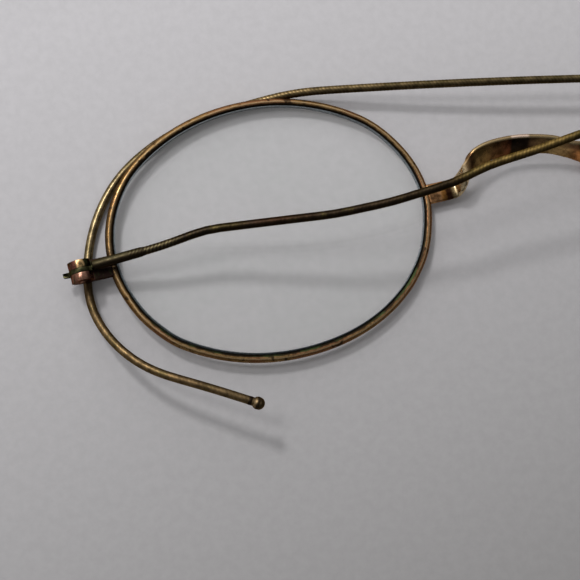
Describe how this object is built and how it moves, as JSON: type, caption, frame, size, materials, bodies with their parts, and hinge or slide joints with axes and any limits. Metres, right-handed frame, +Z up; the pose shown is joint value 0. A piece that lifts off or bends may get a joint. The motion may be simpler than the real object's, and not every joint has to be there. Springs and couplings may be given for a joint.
{
  "type": "reading glasses",
  "caption": "Wire-rim reading glasses with small oval lenses, a saddle bridge and wound cable temples with ear hooks, folded and lying on their front.",
  "frame": {"origin": "on the table under the middle of the whole outline, as the glasses lie folded on their front", "axes": "+X along the front towards the wearer's right, +Y the glasses' own top, +Z up, towards the wearer"},
  "size_m": [0.1159, 0.0538, 0.0239],
  "materials": {
    "rim_gold": "worn gold-filled wire, bright where rubbed",
    "bridge_gold": "worn gold-filled ribbon with darker hollows",
    "lug_copper": "worn through to copper, green in the corners",
    "olive_patina": "smooth olive patina",
    "wound_wire": "dark brown patina, golden on the crowns of the turns",
    "spring_wire": "drawn wire",
    "tip_gold": "worn gold-filled ball",
    "lens_glass": "clear polished glass, slightly grey-green"
  },
  "bodies": {
    "frame": {"left_eyewire": "rim_gold", "right_eyewire": "rim_gold", "left_lens": "lens_glass", "right_lens": "lens_glass", "bridge": "bridge_gold", "left_upper_lug": "lug_copper", "left_lower_lug": "lug_copper", "left_screw": "lug_copper", "right_upper_lug": "lug_copper", "right_lower_lug": "lug_copper", "right_screw": "lug_copper"},
    "left_temple": {"left_joint": "olive_patina", "left_ferrule": "olive_patina", "left_core": "spring_wire", "left_wrap": "wound_wire", "left_tip": "tip_gold"},
    "right_temple": {"right_joint": "olive_patina", "right_ferrule": "olive_patina", "right_core": "spring_wire", "right_wrap": "wound_wire", "right_tip": "tip_gold"}
  },
  "joints": [
    {"name": "left_hinge", "type": "hinge", "parent": "frame", "child": "left_temple", "pos_m": [-0.05588, 0.01025, 0.00296], "axis": [0, -1, 0], "range_deg": [-8, 75]},
    {"name": "right_hinge", "type": "hinge", "parent": "frame", "child": "right_temple", "pos_m": [0.05591, 0.01025, 0.0015], "axis": [0, 1, 0], "range_deg": [0, 84]}
  ]
}
